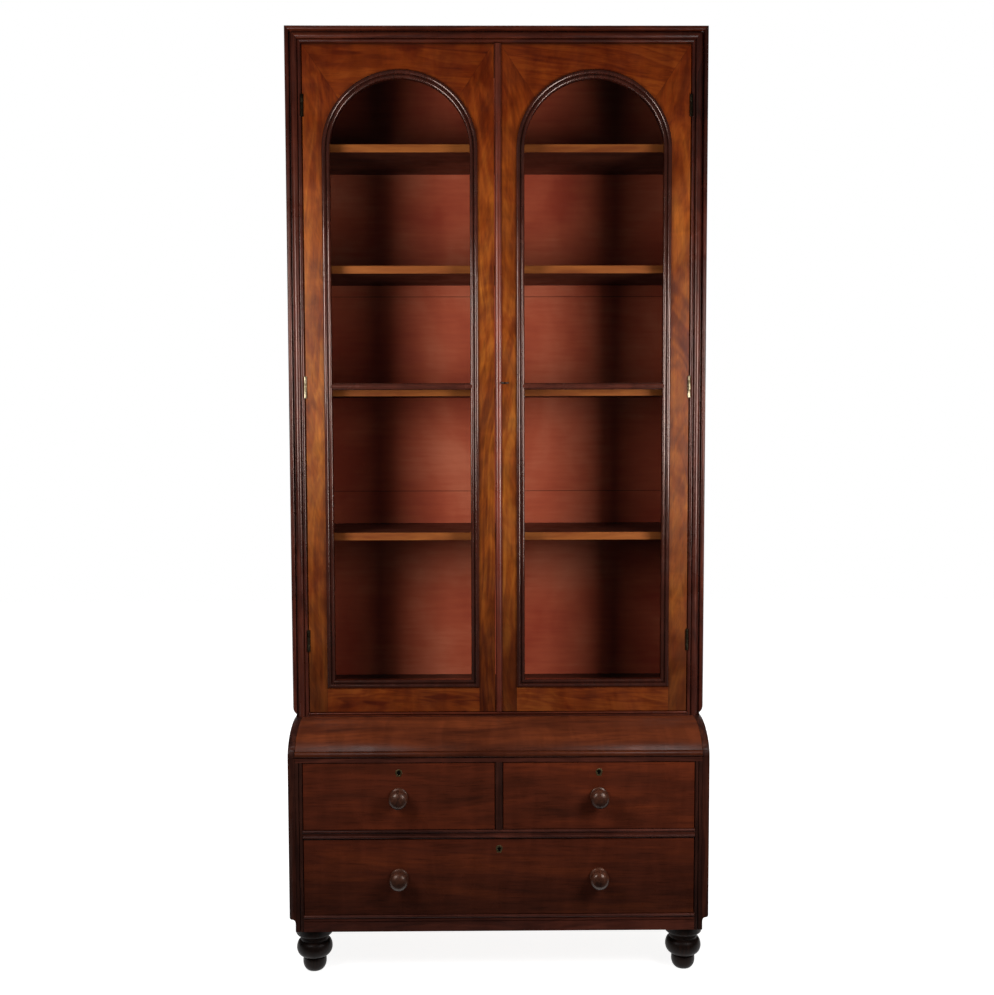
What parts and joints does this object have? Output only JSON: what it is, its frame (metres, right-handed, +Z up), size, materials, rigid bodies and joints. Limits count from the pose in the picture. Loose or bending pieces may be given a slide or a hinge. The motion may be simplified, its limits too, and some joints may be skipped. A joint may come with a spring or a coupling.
{
  "type": "display cabinet",
  "caption": "Glazed display cabinet: an upper case with arched glass doors and shelves, set back on a chest of drawers with a cushion frieze drawer and turned feet.",
  "frame": {"origin": "on the floor, in the middle of the cabinet's footprint, knobs included", "axes": "+X to the right as seen from the front, +Y from the front to the back, +Z up"},
  "size_m": [1.062, 0.54, 2.384],
  "materials": {
    "mahogany_case": "French-polished mahogany, dark red brown",
    "mahogany_door": "figured mahogany veneer, French polished, warmer red brown",
    "mahogany_drawer": "flame mahogany veneer, French polished, knobs stained near black",
    "mahogany_moulding": "polished mahogany moulding, near black brown",
    "dark_turned": "dark stained turned wood with a worn polish",
    "back_wood": "terracotta stained soft wood, matt",
    "shelf_wood": "mahogany shelf with a lighter front edge",
    "secondary_wood": "plain pine and oak, unfinished",
    "brass": "old brass, dulled",
    "key_steel": "dark worn steel",
    "pane_glass": "clear thin window glass"
  },
  "bodies": {
    "carcass": {"upper_side_left": "mahogany_case", "upper_side_right": "mahogany_case", "upper_top_board": "secondary_wood", "upper_floor_board": "back_wood", "upper_back_boards": "back_wood", "surround_left": "mahogany_moulding", "surround_right": "mahogany_moulding", "surround_top": "mahogany_moulding", "sill_moulding": "mahogany_moulding", "shelf_1": "shelf_wood", "shelf_2": "shelf_wood", "shelf_3": "shelf_wood", "shelf_4": "shelf_wood", "shelf_bearers": "back_wood", "frame_hinge_leaves": "brass", "chest_side_left": "mahogany_case", "chest_side_right": "mahogany_case", "chest_top_board": "mahogany_case", "chest_back_board": "secondary_wood", "front_stiles": "mahogany_case", "drawer_rails": "mahogany_moulding", "drawer_divider": "mahogany_moulding", "plinth_frame": "mahogany_case", "drawer_runners": "secondary_wood", "front_feet": "dark_turned", "back_feet": "dark_turned"},
    "left_door": {"left_door_stiles": "mahogany_door", "left_door_rails": "mahogany_door", "left_door_glazing_moulding": "mahogany_moulding", "left_door_glazing_bar": "mahogany_moulding", "left_door_panes": "pane_glass", "left_door_hinge_leaves": "brass", "flush_bolt_plates": "brass"},
    "upper_flush_bolt": {"upper_flush_bolt": "brass"},
    "lower_flush_bolt": {"lower_flush_bolt": "brass"},
    "right_door": {"right_door_stiles": "mahogany_door", "right_door_rails": "mahogany_door", "right_door_glazing_moulding": "mahogany_moulding", "right_door_glazing_bar": "mahogany_moulding", "right_door_panes": "pane_glass", "right_door_hinge_leaves": "brass", "meeting_bead": "mahogany_moulding", "door_lock_case": "brass"},
    "door_lock_bolt": {"door_lock_bolt": "brass"},
    "door_key": {"door_key": "key_steel"},
    "frieze_drawer": {"frieze_drawer_front": "mahogany_drawer", "frieze_drawer_box": "secondary_wood"},
    "left_drawer": {"left_drawer_front": "mahogany_drawer", "left_drawer_box": "secondary_wood", "left_drawer_lock": "brass"},
    "right_drawer": {"right_drawer_front": "mahogany_drawer", "right_drawer_box": "secondary_wood", "right_drawer_lock": "brass"},
    "long_drawer": {"long_drawer_front": "mahogany_drawer", "long_drawer_box": "secondary_wood", "long_drawer_lock": "brass"}
  },
  "joints": [
    {"name": "left_door_swing", "type": "hinge", "parent": "carcass", "child": "left_door", "pos_m": [-0.489, -0.0875, 1.4935], "axis": [0, 0, -1], "range_deg": [0, 100]},
    {"name": "right_door_swing", "type": "hinge", "parent": "carcass", "child": "right_door", "pos_m": [0.489, -0.0875, 1.4935], "axis": [0, 0, 1], "range_deg": [0, 100]},
    {"name": "upper_flush_bolt_slide", "type": "slide", "parent": "left_door", "child": "upper_flush_bolt", "axis": [0, 0, 1], "range_m": [0, 0.012]},
    {"name": "lower_flush_bolt_slide", "type": "slide", "parent": "left_door", "child": "lower_flush_bolt", "axis": [0, 0, -1], "range_m": [0, 0.012]},
    {"name": "door_key_turn", "type": "hinge", "parent": "right_door", "child": "door_key", "pos_m": [0.018, -0.0675, 1.494], "axis": [0, -1, 0], "range_deg": [0, 90]},
    {"name": "door_lock_bolt_slide", "type": "slide", "parent": "right_door", "child": "door_lock_bolt", "axis": [-1, 0, 0], "range_m": [0, 0.008]},
    {"name": "frieze_drawer_slide", "type": "slide", "parent": "carcass", "child": "frieze_drawer", "axis": [0, -1, 0], "range_m": [0, 0.3]},
    {"name": "left_drawer_slide", "type": "slide", "parent": "carcass", "child": "left_drawer", "axis": [0, -1, 0], "range_m": [0, 0.36]},
    {"name": "right_drawer_slide", "type": "slide", "parent": "carcass", "child": "right_drawer", "axis": [0, -1, 0], "range_m": [0, 0.36]},
    {"name": "long_drawer_slide", "type": "slide", "parent": "carcass", "child": "long_drawer", "axis": [0, -1, 0], "range_m": [0, 0.36]}
  ],
  "couplings": [
    {"joint": "door_key_turn", "follows": "door_lock_bolt_slide", "rad_per_m": 196.35}
  ]
}
